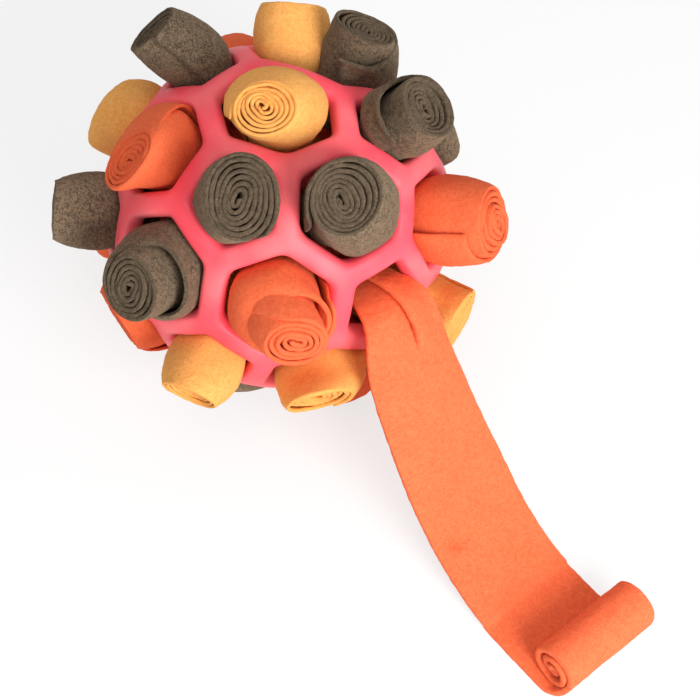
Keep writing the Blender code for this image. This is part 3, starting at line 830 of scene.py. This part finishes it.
def make_open_strip(centre, finish):
    """The strip that is drawn out: pleated in its hole, arched as it hangs, flat where it lies."""
    fine = strip_line(centre.z)
    along = np.concatenate([[0], np.cumsum(np.linalg.norm(np.diff(fine, axis=0), axis=1))])
    places = np.linspace(0, along[-1], STRIP_STEPS + 1)
    line = np.stack([np.interp(places, along, fine[:, k]) for k in range(3)], axis=1)
    curl_start = along[len(fine) - 1 - round(END_TURNS * STEPS_A_TURN)]
    out = direction(STRIP_AZIMUTH, 0)
    side = Vector((0, 0, 1)).cross(out)
    profiles = []
    for place, (reach, _, _) in zip(places, line):
        seen = float(np.interp(reach, *zip(*STRIP_SEEN))) if place < curl_start else STRIP_WIDTH
        profiles.append(strip_profile(reach, seen))
    lying = RIPPLE_CLEARANCE + CLOTH - centre.z
    bm = bmesh.new()
    bmesh.ops.create_grid(bm, x_segments=STRIP_STEPS, y_segments=STRIP_COLUMNS, size=1.0)
    for vert in bm.verts:
        i = round((vert.co.x + 1) / 2 * STRIP_STEPS)
        j = (vert.co.y + 1) / 2 * (STRIP_SAMPLES - 1)
        reach, aside, up = (float(value) for value in line[i])
        across, rise = (float(np.interp(j, np.arange(STRIP_SAMPLES), row)) for row in profiles[i])
        if up > lying:
            rise += RIPPLE * noise.noise(Vector((places[i] * RIPPLES_A_METRE, j * 0.01, 4.0)))
        if places[i] < curl_start:
            dent = [(reach - DENT_PLACE[0]) / DENT_SIZE[0], (across - DENT_PLACE[1]) / DENT_SIZE[1]]
            rise -= DENT_DEPTH * math.exp(-(dent[0] ** 2) - dent[1] ** 2)
        run = line[min(i + 1, STRIP_STEPS)] - line[max(i - 1, 0)]
        run = Vector((run[0], run[2])).normalized()
        place = out * (reach - run.y * rise) + side * (aside + across)
        vert.co = centre + place + Vector((0, 0, up + run.x * rise))
    bmesh.ops.recalc_face_normals(bm, faces=bm.faces[:])
    spread = working_object("open_strip_form", bm)
    add_cloth(spread, CLOTH)
    add_subdivision(spread, 1)
    mesh = finished_mesh(spread, NAP * STRIP_NAP_SHARE, 0.0, STRIP_SEED)
    bpy.data.objects.remove(spread, do_unlink=True)
    piece = new_piece("fleece_open_strip", mesh, finish)
    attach(piece, "open_strip")
    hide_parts("open_strip")


def make_floor():
    """A plain pale floor that keeps the shadows and looks white to the camera."""
    bm = bmesh.new()
    bmesh.ops.create_grid(bm, x_segments=1, y_segments=1, size=6.0)
    floor = working_object("floor", bm)
    finish = Finish("floor_paint", {"Roughness": 0.9, "Base Color": FLOOR_PAINT})
    seen = finish.node("ShaderNodeLightPath", output="Is Camera Ray")
    glow = finish.node("ShaderNodeEmission", {}, {"Color": WHITE, "Strength": 1.0})
    paint = Value(finish, finish.shader.outputs[0])
    mixed = finish.node("ShaderNodeMixShader", {}, {0: seen * FLOOR_GLOW, 1: paint, 2: glow})
    finish.links.new(mixed.socket, finish.nodes["Material Output"].inputs["Surface"])
    floor.data.materials.append(finish.material)


def add_lamp(name, centre, azimuth, height, distance, size, power):
    data = bpy.data.lights.new(name, "AREA")
    data.shape = "DISK"
    data.size = size
    data.energy = power
    lamp = bpy.data.objects.new(name, data)
    lamp.location = centre + direction(azimuth, height) * distance
    lamp.rotation_euler = (centre - lamp.location).to_track_quat("-Z", "Y").to_euler()
    bpy.context.scene.collection.objects.link(lamp)


def add_light(centre):
    """An even world that looks white to the camera, and the lamps."""
    world = bpy.data.worlds.new("studio")
    world.use_nodes = True
    nodes = world.node_tree.nodes
    links = world.node_tree.links
    plain = nodes["Background"]
    plain.inputs["Color"].default_value = WHITE
    plain.inputs["Strength"].default_value = WORLD_LIGHT
    white = nodes.new("ShaderNodeBackground")
    white.inputs["Color"].default_value = WHITE
    white.inputs["Strength"].default_value = 1.0
    path = nodes.new("ShaderNodeLightPath")
    mixed = nodes.new("ShaderNodeMixShader")
    links.new(path.outputs["Is Camera Ray"], mixed.inputs[0])
    links.new(plain.outputs[0], mixed.inputs[1])
    links.new(white.outputs[0], mixed.inputs[2])
    links.new(mixed.outputs[0], nodes["World Output"].inputs["Surface"])
    bpy.context.scene.world = world
    for name, lamp in LAMPS.items():
        add_lamp(name, centre, *lamp)


def add_camera(centre):
    """The camera stands where the photograph was taken."""
    data = bpy.data.cameras.new("camera")
    data.sensor_width = VIEW_SENSOR
    data.lens = VIEW_LENS
    data.shift_x, data.shift_y = VIEW_SHIFT
    camera = bpy.data.objects.new("camera", data)
    camera.location = centre + direction(0, VIEW_HEIGHT) * VIEW_DISTANCE
    camera.rotation_euler = (math.radians(90 - VIEW_HEIGHT), 0, 0)
    bpy.context.scene.collection.objects.link(camera)
    bpy.context.scene.camera = camera


def ball_centre(record):
    """The hollow's box is centred in the ball."""
    low, high = record["physics"]["openings"][0]["box_m"]
    return (Vector(low) + Vector(high)) / 2


def roll_rows(holes, rest_height):
    """What each roll is made from, in the order of their numbers."""
    rows = []

    def add(colour, hole, azimuth, axis, reach, lean=(0, 0), end_share=1.0, room=ROLL_RADIUS):
        rows.append({
            "colour": colour, "hole": hole, "azimuth": azimuth, "axis": axis, "reach": reach,
            "lean": lean, "end_share": end_share, "room": room,
        })

    for place, colour, out_share, east, up, end_share in ROLLS:
        hole = hole_at(holes, *place)
        reach = BALL_RADIUS + STAND_OUT * out_share
        add(colour, hole, place[0], hole["axis"], reach, (east, up), end_share)
    double = hole_at(holes, *DOUBLE_HOLE)
    half_way = WALL_MIDDLE * math.sin(math.radians(DOUBLE_SPREAD)) - SEAT_GAP
    for colour, side, out_share, east, up, end_share in DOUBLE_ROLLS:
        azimuth = DOUBLE_HOLE[0] + side * DOUBLE_SPREAD / math.cos(math.radians(DOUBLE_HOLE[1]))
        axis = direction(azimuth, DOUBLE_HOLE[1])
        reach = BALL_RADIUS + STAND_OUT * out_share
        add(colour, double, azimuth, axis, reach, (east, up), end_share, half_way)
    for place, colour in FEET:
        hole = hole_at(holes, *place)
        rim = ROLL_RADIUS * END_RADIUS_SHARE * math.hypot(hole["axis"].x, hole["axis"].y)
        reach = (rest_height + FOOT_CUT - rim) / -hole["axis"].z
        add(colour, hole, place[0], hole["axis"], reach)
    bottom = hole_at(holes, 0, -90)
    add("orange", bottom, 0, bottom["axis"], rest_height + FOOT_CUT, end_share=1 / END_RADIUS_SHARE)
    return rows


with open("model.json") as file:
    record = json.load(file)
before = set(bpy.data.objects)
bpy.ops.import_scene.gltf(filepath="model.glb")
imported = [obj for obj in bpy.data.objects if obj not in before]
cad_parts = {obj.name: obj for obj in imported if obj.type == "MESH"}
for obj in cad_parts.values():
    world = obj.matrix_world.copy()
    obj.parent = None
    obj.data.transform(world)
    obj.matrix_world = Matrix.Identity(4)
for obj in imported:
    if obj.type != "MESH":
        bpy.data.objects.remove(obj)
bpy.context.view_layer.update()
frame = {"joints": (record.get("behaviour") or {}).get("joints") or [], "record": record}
bpy.context.scene.view_settings.view_transform = "Standard"
centre = ball_centre(frame["record"])
fleeces = {colour: fleece_finish(f"fleece_{colour}", colour) for colour in FLEECES}
add_camera(centre)

lattice_bm, holes = hole_layout()
lattice = make_lattice(lattice_bm, centre, rubber_finish("rubber"))
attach(lattice, "ball")
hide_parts("rubber_ball")

# The place of each roll's joint, on its axis in the middle of the rubber
seats = {
    int(joint["name"].split("_")[1]): Vector(joint["pos_m"])
    for joint in frame["joints"] if joint["name"].startswith("roll_")
}
for number, row in enumerate(roll_rows(holes, centre.z), start=1):
    roll = WoundRoll(number, row)
    make_fleece_roll(roll, row["colour"], centre, seats[number], fleeces[row["colour"]])
make_open_strip(centre, fleeces["orange"])

make_floor()
add_light(centre)
